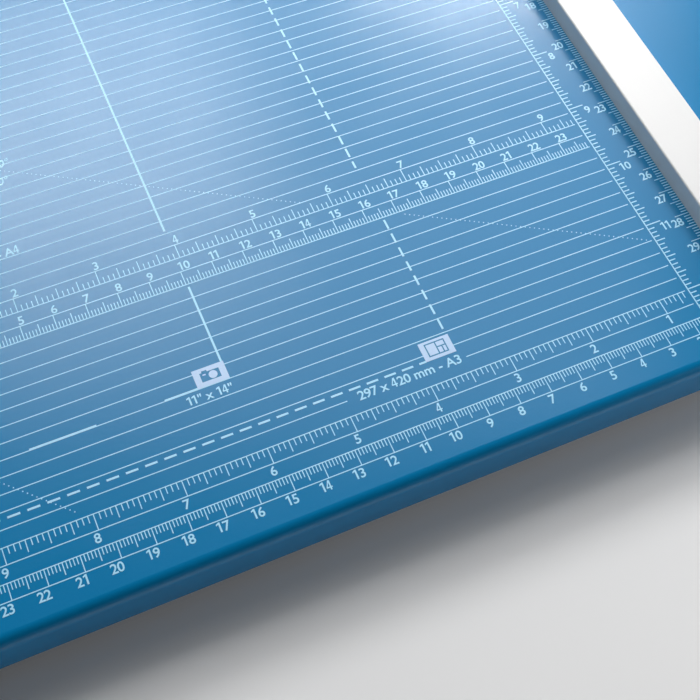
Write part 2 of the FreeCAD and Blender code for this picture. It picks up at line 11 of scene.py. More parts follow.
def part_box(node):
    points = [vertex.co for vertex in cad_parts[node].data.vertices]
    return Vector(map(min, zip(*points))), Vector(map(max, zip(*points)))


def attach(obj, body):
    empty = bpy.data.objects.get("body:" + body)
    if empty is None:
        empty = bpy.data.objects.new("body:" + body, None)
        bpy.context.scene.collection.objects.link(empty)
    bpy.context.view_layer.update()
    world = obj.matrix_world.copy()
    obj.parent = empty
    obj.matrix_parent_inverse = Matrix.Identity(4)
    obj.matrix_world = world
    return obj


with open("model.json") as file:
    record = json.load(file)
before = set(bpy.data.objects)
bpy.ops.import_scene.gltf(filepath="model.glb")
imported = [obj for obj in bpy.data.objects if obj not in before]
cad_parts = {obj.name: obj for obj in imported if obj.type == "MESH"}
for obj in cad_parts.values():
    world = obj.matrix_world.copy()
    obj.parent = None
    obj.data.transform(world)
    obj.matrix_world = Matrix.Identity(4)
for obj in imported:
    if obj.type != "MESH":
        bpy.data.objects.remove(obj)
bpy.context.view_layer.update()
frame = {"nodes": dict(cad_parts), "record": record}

# A millimetre in metres, and an inch in millimetres.
MM = 0.001
INCH = 25.4

# Places read from the frame, in metres, the cutting length in millimetres, and how many metres outside a
# surface the rays at it start.
TABLE_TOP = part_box("side_stop_right")[0].z
CUT_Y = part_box("fixed_blade")[1].y
RIGHT_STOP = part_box("side_stop_right")[0].x
LEFT_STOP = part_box("side_stop_left")[1].x
CUT_LENGTH = (RIGHT_STOP - LEFT_STOP) / MM
RAY_CLEARANCE = 0.05

# Printed artwork, in millimetres: x is counted from the right-hand stop and y from the cutting line, so
# both are negative on the table. First the ink's thickness, how far it is sunk, the step between marks that
# cross, and the widths of its lines.
INK = 0.03
INK_SUNK = 0.02
LAYER = 0.004
THIN = 0.3
TICK = 0.28
SIDE_INCH_TICK = 0.38
MEDIUM = 0.5
BOLD = 0.65

# The field between the vertical rulers, with its grid and the rulers that cross it. The lengths of ticks are
# those at a whole unit, at a part of it, and between.
TICK_LENGTHS = (5.0, 3.7, 2.2)
GRID_PITCH = 5.0
GRID_START = -70.0
GRID_END = -16.3
CENTRE = -CUT_LENGTH / 2
MID_INCH_BASE = -235.0
MID_CM_BASE = -245.0
FRONT_INCH_BASE = -305.0
FRONT_CM_BASE = -315.0
MID_FIGURES_UP = 7.0
FRONT_FIGURES_DOWN = 7.0
GAP_TOP = -224.0
GAP_BOTTOM = -246.0

# The vertical rulers beside each stop.
SIDE_INCH_TICK_LENGTHS = (5.2, 3.2, 2.2)
SIDE_INCH_BASE = -15.2
SIDE_INCH_FIGURES = -9.4
SIDE_CM_BASE = 0.25
SIDE_CM_FIGURES = -5.3
SIDE_INCH_FIGURES_DOWN = 2.2
SIDE_CM_FIGURES_DOWN = 2.1
SIDE_CM_LAST_FIGURE = 31
SIDE_INCH_END = -317.0
SIDE_CM_END = -323.0

# Height of most figures, and how much thicker than the font their strokes are, in font sizes.
DIGIT = 3.0
STROKE_GAIN = 0.02

# Dashes, texts and signs of the format frames. Formats are given as wide and deep, photo formats in inches,
# sizes of text as the height of its figures and its stretch, and signs as width and height.
PHOTO_FORMATS = ((14, 11), (10, 8), (7, 5))
PHOTO_TEXT = (2.8, 1.06)
PHOTO_TEXT_DOWN = 3.3
LARGE_PAPER = ("A3", 420, 297)
LARGE_PAPER_TEXT = (3.1, 1.03)
LARGE_TEXT_PROUD = 0.4
LARGE_TEXT_DOWN = 2.65
SMALL_PAPERS = (("A4", 297, 210), ("A5", 210, 148))
SMALL_TEXT_DOWN = 3.0
SOLID_LINE_IN = 0.17
SOLID_LINE_DOWN = 0.3
DASHED_LINE_IN = 0.1
FIRST_DASH_IN = 2.4
DASH = 3.6
DASH_PITCH = 5.6
LONG_DASH = 19.5
LONG_DASH_PITCH = 39.8
FRAME_MARGIN = 25.0
PHOTO_SIGN = (9.8, 6.1)
PAPER_SIGN = (9.8, 6.35)
SIGN_PROUD = 0.35
SIGN_DROP = 0.5
PAPER_SIGN_DROP = 0.2
ROUND_SIDES = 20

# Dotted angle lines.
ANGLES = (30, 45, 60)
ANGLE_FIGURES = (("30°", -191.5, -179.4), ("60°", -193.5, -186.2))
ANGLE_SLANT = 0.2
DOT_PITCH = 1.45
DOT_RADIUS = 0.20
DOT_SIDES = 6
DOTS_BOTTOM = 303.5
DOTS_GAP_TOP = GAP_TOP - 6.0

# Head and clamp details, in millimetres: the ribs, the arrows, the guide line with its strokes, and how far
# the edges of the larger pieces are rounded.
SHARP_DEGREES = 40
GRIP_RIBS = 9
GRIP_RIB_PITCH = 6.0
GRIP_RIB_HALF = 17.0
GRIP_RIB_WIDTH = 1.5
GRIP_RIB_HEIGHT = 0.45
GRIP_RIB_SUNK = 0.4
GRIP_RIB_POINTS = 25
GRIP_RIB_SHORTER = 0.10
ARROW_MIDDLE_Z = 58.0
ARROW_PROBE = 4.0
ARROW_SHAFT_HALF = 8.0
ARROW_TIP = 13.0
ARROW_HEAD_HALF = 2.6
ARROW_LINE = 1.0
GUIDE_IN = 3.4
GUIDE_LINE = 0.3
GUIDE_END = 6.0
STROKE_HALF = 0.2
STROKE_START = 0.5
STROKE_END = 8.0
EDGE_ROUNDINGS = {
    "end_bracket_left": 0.7,
    "end_bracket_right": 0.7,
    "head_shell_front": 0.5,
    "head_shell_rear": 0.5,
    "side_stop_left": 0.5,
    "side_stop_right": 0.5,
    "head_grip": 0.5,
}

# Stage, in metres. The world's light fades from behind to the front, and goes by height above the horizon:
# pairs of the sine of the height and the strength there.
FLOOR_HALF = 25.0
FLOOR_GLOW = 0.22
GLOW_START = 0.7
GLOW_END = 3.2
HORIZON_FRONT = 0.25
HORIZON_BEHIND = 0.80
HORIZON_STEPS = ((0.0, 0.3), (0.16, 1.0), (0.48, 0.015))


# ---------------------------------------------------------------- materials


class Shader:
    """A material with one Principled shader, and short ways to add procedural detail to it."""

    def __init__(self, name, color, roughness, metallic=0.0):
        self.material = bpy.data.materials.new(name)
        self.material.use_nodes = True
        self.tree = self.material.node_tree
        self.bsdf = self.tree.nodes["Principled BSDF"]
        self.bsdf.inputs["Base Color"].default_value = (*color, 1)
        self.bsdf.inputs["Roughness"].default_value = roughness
        self.bsdf.inputs["Metallic"].default_value = metallic
        self.coords = self.tree.nodes.new("ShaderNodeTexCoord")
        self.normal = None

    def link(self, a, b):
        self.tree.links.new(a, b)

    def stretched(self, scale):
        """Object coordinates, in metres, multiplied by (x, y, z)."""
        node = self.tree.nodes.new("ShaderNodeMapping")
        node.inputs["Scale"].default_value = scale
        self.link(self.coords.outputs["Object"], node.inputs["Vector"])
        return node.outputs["Vector"]

    def noise(self, scale, detail, stretch=(1, 1, 1)):
        """Noise value with that many features per metre."""
        node = self.tree.nodes.new("ShaderNodeTexNoise")
        node.inputs["Scale"].default_value = scale
        node.inputs["Detail"].default_value = detail
        self.link(self.stretched(stretch), node.inputs["Vector"])
        return node.outputs["Fac"]

    def cells(self, scale):
        """Flat cells, each with a random value, that many per metre."""
        node = self.tree.nodes.new("ShaderNodeTexVoronoi")
        node.inputs["Scale"].default_value = scale
        self.link(self.coords.outputs["Object"], node.inputs["Vector"])
        return node.outputs["Color"]

    def ramp(self, source, low, high, start, end):
        """Maps source from low..high to the values start..end, clamped."""
        node = self.tree.nodes.new("ShaderNodeMapRange")
        node.inputs["From Min"].default_value = low
        node.inputs["From Max"].default_value = high
        node.inputs["To Min"].default_value = start
        node.inputs["To Max"].default_value = end
        self.link(source, node.inputs["Value"])
        return node.outputs["Result"]

    def blend_color(self, source, low, high, a, b):
        """Base colour from a where source is low to b where it is high."""
        node = self.tree.nodes.new("ShaderNodeMix")
        node.data_type = "RGBA"
        node.inputs["A"].default_value = (*a, 1)
        node.inputs["B"].default_value = (*b, 1)
        self.link(self.ramp(source, low, high, 0, 1), node.inputs["Factor"])
        self.link(node.outputs["Result"], self.bsdf.inputs["Base Color"])

    def vary_roughness(self, source, low, high, start, end):
        """Roughness from start where source is low to end where it is high."""
        self.link(self.ramp(source, low, high, start, end), self.bsdf.inputs["Roughness"])

    def bump(self, source, height, strength):
        """Adds a bump of that height in metres, on top of earlier ones."""
        node = self.tree.nodes.new("ShaderNodeBump")
        node.inputs["Strength"].default_value = strength
        node.inputs["Distance"].default_value = height
        self.link(source, node.inputs["Height"])
        if self.normal is not None:
            self.link(self.normal, node.inputs["Normal"])
        self.normal = node.outputs["Normal"]
        self.link(self.normal, self.bsdf.inputs["Normal"])

    def set(self, socket, value):
        self.bsdf.inputs[socket].default_value = value


def table_paint():
    """Satin blue powder coat with a fine orange peel and a faint cloudiness."""
    s = Shader("table_paint", (0.0005, 0.20, 0.445), 0.23)
    s.blend_color(s.noise(6, 2), 0.3, 0.7, (0.0003, 0.195, 0.435), (0.0008, 0.205, 0.455))
    s.vary_roughness(s.noise(60, 2), 0.3, 0.7, 0.215, 0.24)
    s.bump(s.noise(1100, 1), 0.00004, 0.5)
    s.bump(s.noise(2800, 1), 0.00002, 0.5)
    return s.material


def ink(name, light, dark):
    """Screen-print ink, a little uneven where it was squeezed through the mesh."""
    s = Shader(name, light, 0.4)
    s.blend_color(s.noise(2200, 2), 0.35, 0.7, light, dark)
    s.bump(s.noise(1500, 1), 0.00001, 0.4)
    return s.material


def moulded_plastic(name, color, shade, roughness):
    """Moulded plastic with a fine spark-eroded grain and slight unevenness."""
    s = Shader(name, color, roughness)
    s.blend_color(s.noise(14, 3), 0.35, 0.65, color, shade)
    s.vary_roughness(s.noise(90, 3), 0.3, 0.7, roughness - 0.05, roughness + 0.07)
    s.bump(s.noise(1400, 2), 0.00003, 0.6)
    return s.material


def brushed(name, color, roughness, stretch, lines=900, height=0.000012):
    """Metal with fine lines along one axis, as ground, drawn or extruded."""
    s = Shader(name, color, roughness, 1.0)
    streak = s.noise(lines, 3, stretch)
    s.vary_roughness(streak, 0.3, 0.7, roughness - 0.07, roughness + 0.1)
    s.blend_color(s.noise(25, 3), 0.3, 0.7, color, tuple(c * 0.86 for c in color))
    s.bump(streak, height, 0.7)
    return s.material


def zinc_steel():
    """Zinc-plated steel, faintly mottled."""
    s = Shader("zinc_steel", (0.62, 0.64, 0.67), 0.36, 1.0)
    s.blend_color(s.noise(300, 3), 0.35, 0.65, (0.62, 0.64, 0.68), (0.50, 0.51, 0.52))
    s.vary_roughness(s.noise(800, 3), 0.3, 0.7, 0.28, 0.45)
    s.bump(s.noise(2500, 2), 0.00001, 0.5)
    return s.material


def galvanised():
    """Zinc spangle: flat cells, each a little different in tone and gloss."""
    s = Shader("galvanised_sheet", (0.55, 0.57, 0.6), 0.45, 1.0)
    cell = s.cells(160)
    s.blend_color(cell, 0, 1, (0.45, 0.47, 0.50), (0.66, 0.68, 0.71))
    s.vary_roughness(cell, 0, 1, 0.35, 0.55)
    s.bump(s.noise(900, 2), 0.00001, 0.5)
    return s.material


def rubber(name, color, shade, roughness=0.75, grain=2200):
    """Matt rubber or soft-touch plastic with a fine skin."""
    s = Shader(name, color, roughness)
    s.blend_color(s.noise(70, 4), 0.35, 0.65, color, shade)
    s.vary_roughness(s.noise(200, 3), 0.3, 0.7, roughness - 0.1, roughness + 0.08)
    s.bump(s.noise(grain, 2), 0.00004, 0.6)
    return s.material


def clear_plastic():
    """Clear extruded strip with faint drawing lines along its length and fine handling scratches."""
    s = Shader("clear_plastic", (0.93, 0.97, 0.98), 0.05)
    s.set("Transmission Weight", 1.0)
    s.set("IOR", 1.5)
    s.vary_roughness(s.noise(400, 3, (0.03, 1, 1)), 0.35, 0.7, 0.03, 0.12)
    s.bump(s.noise(300, 2, (0.02, 1, 1)), 0.00001, 0.4)
    return s.material


def build_materials():
    """Material slot name to its material."""
    off_white = (0.80, 0.80, 0.785)
    return {
        "table_paint": table_paint(),
        "support_profile": brushed("support_profile", (0.74, 0.75, 0.76), 0.34, stretch=(0.02, 1, 1)),
        "blade_steel": brushed("blade_steel", (0.66, 0.67, 0.69), 0.24, stretch=(0.02, 1, 1), lines=1600),
        "zinc_steel": zinc_steel(),
        "bright_steel": brushed("bright_steel", (0.72, 0.72, 0.73), 0.22, stretch=(1, 0.1, 1), lines=1800),
        "galvanised_sheet": galvanised(),
        "stop_plastic": moulded_plastic("stop_plastic", (0.83, 0.83, 0.825), (0.81, 0.81, 0.81), 0.42),
        "housing_plastic": moulded_plastic("housing_plastic", off_white, (0.77, 0.77, 0.755), 0.45),
        "rail_aluminium": brushed(
            "rail_aluminium", (0.80, 0.81, 0.83), 0.36, stretch=(0.01, 1, 1), lines=2400, height=0.000005
        ),
        "foot_rubber": rubber("foot_rubber", (0.018, 0.018, 0.019), (0.028, 0.028, 0.029)),
        "grip_rubber": rubber(
            "grip_rubber", (0.02, 0.10, 0.22), (0.024, 0.115, 0.245), roughness=0.62, grain=1600
        ),
        "clear_plastic": clear_plastic(),
        "slide_plastic": moulded_plastic("slide_plastic", (0.03, 0.032, 0.035), (0.04, 0.042, 0.045), 0.4),
        "liner_plastic": moulded_plastic("liner_plastic", (0.78, 0.77, 0.74), (0.72, 0.71, 0.68), 0.38),
        "roller_rubber": rubber("roller_rubber", (0.045, 0.045, 0.048), (0.06, 0.06, 0.062)),
        "ink": ink("ink", (0.44, 0.79, 0.99), (0.36, 0.72, 0.95)),
        "mark_ink": ink("mark_ink", (0.02, 0.13, 0.28), (0.025, 0.14, 0.30)),
        "box_ink": ink("box_ink", (0.53, 0.71, 0.96), (0.48, 0.67, 0.92)),
    }


MATERIALS = build_materials()


def dress_cad_nodes():
    """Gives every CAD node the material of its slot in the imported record."""
    for part in frame["record"]["subparts"]:
        node = frame["nodes"][part["node"]]
        node.data.materials.clear()
        node.data.materials.append(MATERIALS[part["material_slot"]])


# ---------------------------------------------------------------- new pieces


def prism(made, low, high):
    """Closed solid between two outlines with equally many points, both counter-clockwise from above."""
    low = [made.verts.new(point) for point in low]
    high = [made.verts.new(point) for point in high]
    made.faces.new(high)
    made.faces.new(low[::-1])
    for i in range(len(low)):
        j = (i + 1) % len(low)
        made.faces.new((low[i], low[j], high[j], high[i]))


def rectangle(x0, x1, y0, y1):
    """Its corners, counter-clockwise."""
    return [(x0, y0), (x1, y0), (x1, y1), (x0, y1)]


def new_object(made, name, material):
    """Object in the scene from finished bmesh geometry, which is then freed."""
    mesh = bpy.data.meshes.new(name)
    made.to_mesh(mesh)
    made.free()
    mesh.materials.append(MATERIALS[material])
    obj = bpy.data.objects.new(name, mesh)
    bpy.context.scene.collection.objects.link(obj)
    return obj


# ---------------------------------------------------------------- printed artwork


def table_point(x, y, z=0.0):
    """Row frame point of a place on the table, given in artwork millimetres."""
    return Vector((RIGHT_STOP + x * MM, CUT_Y + y * MM, TABLE_TOP + z * MM))


def printed_piece(made, name, material):
    """One piece of ink on the table from finished bmesh geometry."""
    made.normal_update()
    obj = new_object(made, name, material)
    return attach(obj, "base")


class Print:
    """Collects thin flat solids of ink and turns them into one piece that rides on the base."""

    def __init__(self, lift=0.0):
        self.mesh = bmesh.new()
        self.low = -INK_SUNK + lift
        self.high = INK + lift

    def polygon(self, corners):
        """Thin prism over a convex outline of (x, y) artwork points, counter-clockwise."""
        low = [table_point(x, y, self.low) for x, y in corners]
        high = [table_point(x, y, self.high) for x, y in corners]
        prism(self.mesh, low, high)

    def bar(self, x0, x1, y0, y1):
        """Rectangle between two places each way, in any order."""
        x0, x1 = sorted((x0, x1))
        y0, y1 = sorted((y0, y1))
        self.polygon(rectangle(x0, x1, y0, y1))

    def across(self, x0, x1, y, width):
        """Line parallel to the cutting line."""
        self.bar(x0, x1, y - width / 2, y + width / 2)

    def along(self, x, y0, y1, width):
        """Line from the cutting line towards the front."""
        self.bar(x - width / 2, x + width / 2, y0, y1)

    def dot(self, x, y, radius, sides):
        """Round mark, as a polygon of that many sides."""
        turn = [2 * math.pi * i / sides for i in range(sides)]
        self.polygon([(x + radius * math.cos(t), y + radius * math.sin(t)) for t in turn])

    def frame_box(self, x0, x1, y0, y1, width):
        """Outline of a rectangle, from four bars that meet at the corners."""
        self.bar(x0, x1, y0, y0 + width)
        self.bar(x0, x1, y1 - width, y1)
        self.bar(x0, x0 + width, y0 + width, y1 - width)
        self.bar(x1 - width, x1, y0 + width, y1 - width)

    def piece(self, name, material):
        return printed_piece(self.mesh, name, material)


class Lettering:
    """Collects flat text, laid out glyph by glyph in artwork millimetres, into one piece."""

    # In figure heights: how far the pen moves after a figure, and after a 1 that another 1 follows.
    DIGIT_ADVANCE = 0.62
    PAIR_OF_ONES = 0.53
    WELD_DISTANCE = 1e-7
    # Outlines of the figures that are drawn here, the hole after the outer outline.
    DRAWN = {
        "1": [((0.30, 0), (0.47, 0), (0.47, 1), (0.34, 1), (0.09, 0.86), (0.09, 0.71), (0.30, 0.81))],
        "4": [
            (
                (0.33, 0), (0.47, 0), (0.47, 0.22), (0.58, 0.22), (0.58, 0.35), (0.47, 0.35),
                (0.47, 1), (0.31, 1), (0.01, 0.35), (0.01, 0.22), (0.33, 0.22),
            ),
            ((0.33, 0.35), (0.33, 0.80), (0.125, 0.35)),
        ],
    }

    def __init__(self):
        self.mesh = bmesh.new()
        self.glyphs = {}
        self.unit = 1.0
        self.unit = self.height_of(self.outline("0"))

    def solid(self, curve):
        """Mesh of a flat curve or text, 1 thick."""
        curve.extrude = 0.5
        holder = bpy.data.objects.new("lettering", curve)
        bpy.context.scene.collection.objects.link(holder)
        bpy.context.view_layer.update()
        evaluated = holder.evaluated_get(bpy.context.evaluated_depsgraph_get())
        mesh = bpy.data.meshes.new_from_object(evaluated)
        bpy.data.objects.remove(holder)
        bpy.data.curves.remove(curve)
        return mesh

    def outline(self, text):
        """Solid mesh of a text at font size 1, its pen at x = 0 and its foot at y = 0."""
        curve = bpy.data.curves.new("lettering", "FONT")
        curve.body = text
        curve.size = 1.0 / self.unit
        curve.resolution_u = 3
        curve.offset = STROKE_GAIN
        return self.solid(curve)

    def drawn_figure(self, loops):
        """Solid mesh of a figure from its outer outline and, after it, the outline of its hole."""
        curve = bpy.data.curves.new("figure", "CURVE")
        curve.dimensions = "2D"
        curve.fill_mode = "BOTH"
        for loop in loops:
            spline = curve.splines.new("POLY")
            spline.points.add(len(loop) - 1)
            for point, (x, y) in zip(spline.points, loop):
                point.co = (x, y, 0, 1)
            spline.use_cyclic_u = True
        return self.solid(curve)

    def height_of(self, mesh):
        """Height of a mesh, which is then removed."""
        places = [v.co.y for v in mesh.vertices]
        bpy.data.meshes.remove(mesh)
        return max(places) - min(places)

    def right_edge(self, text):
        """How far a text reaches to the right."""
        mesh = self.outline(text)
        edge = max(v.co.x for v in mesh.vertices)
        bpy.data.meshes.remove(mesh)
        return edge

    def glyph(self, letter):
        """Mesh of one letter for figures of height 1, and how far the pen moves on after it."""
        if letter not in self.glyphs:
            drawn = self.DRAWN.get(letter)
            mesh = self.drawn_figure(drawn) if drawn else self.outline(letter)
            advance = self.DIGIT_ADVANCE
            if not letter.isdigit():
                advance = self.right_edge(letter + "H") - self.right_edge("H")
            self.glyphs[letter] = (mesh, advance)
        return self.glyphs[letter]

    def write(self, text, x, y, size=DIGIT, align="left", slant=0.0, width=1.0):
        """Text with the middle height of its figures at y, and its left edge, right edge or middle at x.

        Size is the height of its figures, slant leans it and width stretches it.
        """
        pens = []
        pen = 0.0
        for letter, following in zip(text, text[1:] + " "):
            pens.append(pen)
            pen += self.PAIR_OF_ONES if letter == following == "1" else self.glyph(letter)[1]
        first, last = self.glyph(text[0])[0], self.glyph(text[-1])[0]
        left = min(v.co.x for v in first.vertices)
        right = pens[-1] + max(v.co.x for v in last.vertices)
        anchor = {"left": left, "right": right, "middle": (left + right) / 2}[align]
        thick = INK + INK_SUNK
        lean = Matrix(((1, slant, 0, 0), (0, 1, 0, 0), (0, 0, 1, 0), (0, 0, 0, 1)))
        for letter, pen in zip(text, pens):
            if letter == " ":
                continue
            place = (
                Matrix.Translation(table_point(x, y, (INK - INK_SUNK) / 2 + 2 * LAYER))
                @ Matrix.Diagonal((size * width * MM, size * MM, thick * MM, 1))
                @ lean
                @ Matrix.Translation((pen - anchor, -0.5, 0))
            )
            copy = self.glyph(letter)[0].copy()
            copy.transform(place)
            self.mesh.from_mesh(copy)
            bpy.data.meshes.remove(copy)

    def piece(self, name, material):
        for mesh, _ in self.glyphs.values():
            bpy.data.meshes.remove(mesh)
        self.glyphs.clear()
        bmesh.ops.remove_doubles(self.mesh, verts=self.mesh.verts[:], dist=self.WELD_DISTANCE)
        return printed_piece(self.mesh, name, material)


# A scale: the distance between its ticks, and how many of them make a whole unit and a part of it.
Scale = namedtuple("Scale", "pitch per_unit per_part")
METRIC = Scale(1.0, 10, 5)
IMPERIAL = Scale(INCH / 16, 16, 4)


def tick_length(scale, i, lengths=TICK_LENGTHS):
    """Length of tick number i, by whether it stands at a whole unit, at a part of it, or between."""
    whole, part, between = lengths
    return whole if i % scale.per_unit == 0 else part if i % scale.per_part == 0 else between


def in_field(x):
    """Whether artwork x lies inside the printed field between the vertical rulers."""
    return -CUT_LENGTH - GRID_END <= x <= GRID_END


def ruler_across(ticks, text, scale, zero, sign, base, side, figures_y, align):
    """One ruler parallel to the cutting line, counted from zero in the direction of sign.

    Its ticks stand on the line at base, on the side given by 1 or -1, with a figure at every whole unit.
    """
    for i in range(1, int(CUT_LENGTH / scale.pitch)):
        x = zero + sign * i * scale.pitch
        if not in_field(x):
            continue
        ticks.along(x, base, base + side * tick_length(scale, i), TICK)
        if i % scale.per_unit == 0:
            text.write(str(i // scale.per_unit), x, figures_y, align=align)


def middle_rulers(ticks, text):
    """Inch and centimetre rulers that count both ways from the middle of the cutting length."""
    for scale, base in ((IMPERIAL, MID_INCH_BASE), (METRIC, MID_CM_BASE)):
        figures_y = base + MID_FIGURES_UP
        for sign, align in ((1, "left"), (-1, "right")):
            ruler_across(ticks, text, scale, CENTRE, sign, base, 1, figures_y, align)
        ticks.along(CENTRE, base, base + tick_length(scale, 0), TICK)
        text.write("0", CENTRE, figures_y, align="middle")


def front_rulers(ticks, text):
    """Inch and centimetre rulers along the front edge that count from the right-hand stop."""
    for scale, base in ((IMPERIAL, FRONT_INCH_BASE), (METRIC, FRONT_CM_BASE)):
        ruler_across(ticks, text, scale, 0, -1, base, -1, base - FRONT_FIGURES_DOWN, "right")


def side_rulers(ticks, text, place):
    """Vertical rulers beside one stop, counted from the cutting line: inches inside, centimetres outside.

    Place turns an x at the right-hand stop into the x at the stop that is meant.
    """
    base = place(SIDE_INCH_BASE)
    ticks.along(base, GRID_START, SIDE_INCH_END, SIDE_INCH_TICK)
    first, last = (int(-end / IMPERIAL.pitch) for end in (GRID_START, SIDE_INCH_END))
    for i in range(first + 1, last + 1):
        y = -i * IMPERIAL.pitch
        reach = tick_length(IMPERIAL, i, SIDE_INCH_TICK_LENGTHS)
        ticks.across(base, place(SIDE_INCH_BASE + reach), y, SIDE_INCH_TICK)
        figure, rest = divmod(i, IMPERIAL.per_unit)
        if rest == 0:
            text.write(str(figure), place(SIDE_INCH_FIGURES), y - SIDE_INCH_FIGURES_DOWN, align="middle")
    for i in range(int(-GRID_START), int(-SIDE_CM_END) + 1):
        ticks.across(place(SIDE_CM_BASE), place(-tick_length(METRIC, i)), -i, TICK)
        figure, rest = divmod(i, METRIC.per_unit)
        if rest == 0 and figure <= SIDE_CM_LAST_FIGURE:
            text.write(str(figure), place(SIDE_CM_FIGURES), -i - SIDE_CM_FIGURES_DOWN, align="middle")


def grid_lines(lines):
    """Fine lines every 5 mm, parallel to the cutting line; every ruler stands on one of them."""
    left = -CUT_LENGTH - GRID_END
    text_y = -300.0
    text_left, text_right = -125.8, -87.8
    first, last = int(-GRID_START / GRID_PITCH), int(-FRONT_CM_BASE / GRID_PITCH) + 1
    for k in range(first, last + 1):
        y = -k * GRID_PITCH
        if y == text_y:
            lines.across(left, text_left, y, THIN)
            lines.across(text_right, GRID_END, y, THIN)
        else:
            lines.across(left, GRID_END, y, THIN)


def dashes(start, end, dash, pitch):
    """Start and end of each dash along a run from start towards end."""
    direction = 1 if end > start else -1
    count = math.ceil(abs(end - start) / pitch)
    starts = [start + direction * pitch * i for i in range(count)]
    return [(a, a + direction * min(dash, abs(end - a))) for a in starts]


def cut_by_ruler_band(y0, y1):
    """The stretches of a vertical line from y0 down to y1 that are clear of the middle rulers."""
    if y1 > GAP_TOP:
        return [(y0, y1)]
    stretches = [(y0, GAP_TOP)]
    if y1 < GAP_BOTTOM:
        stretches.append((GAP_BOTTOM, y1))
    return stretches


def solid_frame(lines, x, y):
    """Photo format corner: solid vertical line down to its sign, long dashes along the lower edge."""
    for y0, y1 in cut_by_ruler_band(GRID_START, y + PHOTO_SIGN[1] - SIGN_DROP):
        lines.along(x - SOLID_LINE_IN, y0, y1, BOLD)
    for x0, x1 in dashes(x, -CUT_LENGTH + FRAME_MARGIN, LONG_DASH, LONG_DASH_PITCH):
        if x0 == x:
            x0 = x + SIGN_PROUD - PHOTO_SIGN[0]
        lines.across(x0, x1, y - SOLID_LINE_DOWN, MEDIUM)


def dashed_frame(lines, x, y, sign=(0.0, 0.0)):
    """Paper format corner: short dashes down and along, stopped at its sign."""
    for y0, y1 in cut_by_ruler_band(GRID_START, y + sign[1]):
        for d0, d1 in dashes(y0, y1, DASH, DASH_PITCH):
            lines.along(x - DASHED_LINE_IN, d0, d1, BOLD)
    edge = x + SIGN_PROUD - sign[0]
    for x0, x1 in dashes(x - FIRST_DASH_IN, -CUT_LENGTH + FRAME_MARGIN, DASH, DASH_PITCH):
        if x1 < edge:
            lines.across(min(x0, edge), x1, y, BOLD)


def photo_sign(boxes, signs, lights, x, y):
    """Light box with a camera in it, its lower right corner at (x, y)."""
    width, height = PHOTO_SIGN
    boxes.bar(x - width, x, y, y + height)
    middle = x - width / 2
    body_half, body_low, body_high = 2.95, y + 1.5, y + 4.55
    signs.bar(middle - body_half, middle + body_half, body_low, body_high)
    finder_left, finder_right, finder_height = middle - 2.2, middle - 0.6, 0.55
    signs.bar(finder_left, finder_right, body_high, body_high + finder_height)
    lens_x, lens_y, lens_radius = middle + 0.8, y + 3.0, 1.3
    lights.dot(lens_x, lens_y, lens_radius, ROUND_SIDES)
    lamp_width, lamp_low, lamp_high = 1.0, y + 3.5, y + 3.95
    lights.bar(finder_left, finder_left + lamp_width, lamp_low, lamp_high)


def halves_sign(boxes, signs, x, y):
    """Light box with a sheet that is halved again and again, its lower right corner at (x, y)."""
    width, height = PAPER_SIGN
    boxes.bar(x - width, x, y, y + height)
    x0, x1, y0, y1 = x - 8.2, x - 1.8, y + 1.05, y + 5.55
    line = 0.38
    signs.frame_box(x0, x1, y0, y1, line)
    middle_x = (x0 + x1) / 2
    middle_y = (y0 + y1) / 2
    quarter_x = (middle_x + x1) / 2
    signs.bar(middle_x, middle_x + line, y0 + line, y1 - line)
    signs.bar(middle_x + line, x1 - line, middle_y, middle_y + line)
    signs.bar(quarter_x, quarter_x + line, y0 + line, middle_y)


def format_frames(lines, boxes, signs, lights, text):
    """Corners of common photo and paper formats, squared from the left-hand stop and the cutting line."""
    for wide, deep in PHOTO_FORMATS:
        x = -CUT_LENGTH + wide * INCH
        y = -deep * INCH
        solid_frame(lines, x, y)
        photo_sign(boxes, signs, lights, x + SIGN_PROUD, y - SIGN_DROP)
        size, width = PHOTO_TEXT
        text.write(f'{deep}" x {wide}"', x, y - PHOTO_TEXT_DOWN, size, align="right", width=width)
    name, wide, deep = LARGE_PAPER
    x = -CUT_LENGTH + wide
    dashed_frame(lines, x, -deep, PAPER_SIGN)
    halves_sign(boxes, signs, x + SIGN_PROUD, -deep - PAPER_SIGN_DROP)
    size, width = LARGE_PAPER_TEXT
    caption = f"{deep} x {wide} mm - {name}"
    text.write(caption, x + LARGE_TEXT_PROUD, -deep - LARGE_TEXT_DOWN, size, align="right", width=width)
    for name, wide, deep in SMALL_PAPERS:
        x = -CUT_LENGTH + wide
        dashed_frame(lines, x, -deep)
        text.write(f"{deep} x {wide} mm - {name}", x, -deep - SMALL_TEXT_DOWN, align="middle")


def angle_lines(dots, text):
    """Dotted lines at angles to the cutting line from the left-hand corner, and figures for two of them."""
    for degrees in ANGLES:
        t = math.radians(degrees)
        reach = min((CUT_LENGTH + GRID_END) / math.cos(t), DOTS_BOTTOM / math.sin(t))
        for i in range(int(reach / DOT_PITCH)):
            r = i * DOT_PITCH
            x = -CUT_LENGTH + r * math.cos(t)
            y = -r * math.sin(t)
            inside = y < GRID_START and x > -CUT_LENGTH - GRID_END
            if inside and not GAP_BOTTOM < y < DOTS_GAP_TOP:
                dots.dot(x, y, DOT_RADIUS, DOT_SIDES)
    for figures, x, y in ANGLE_FIGURES:
        text.write(figures, x, y, align="right", slant=ANGLE_SLANT)


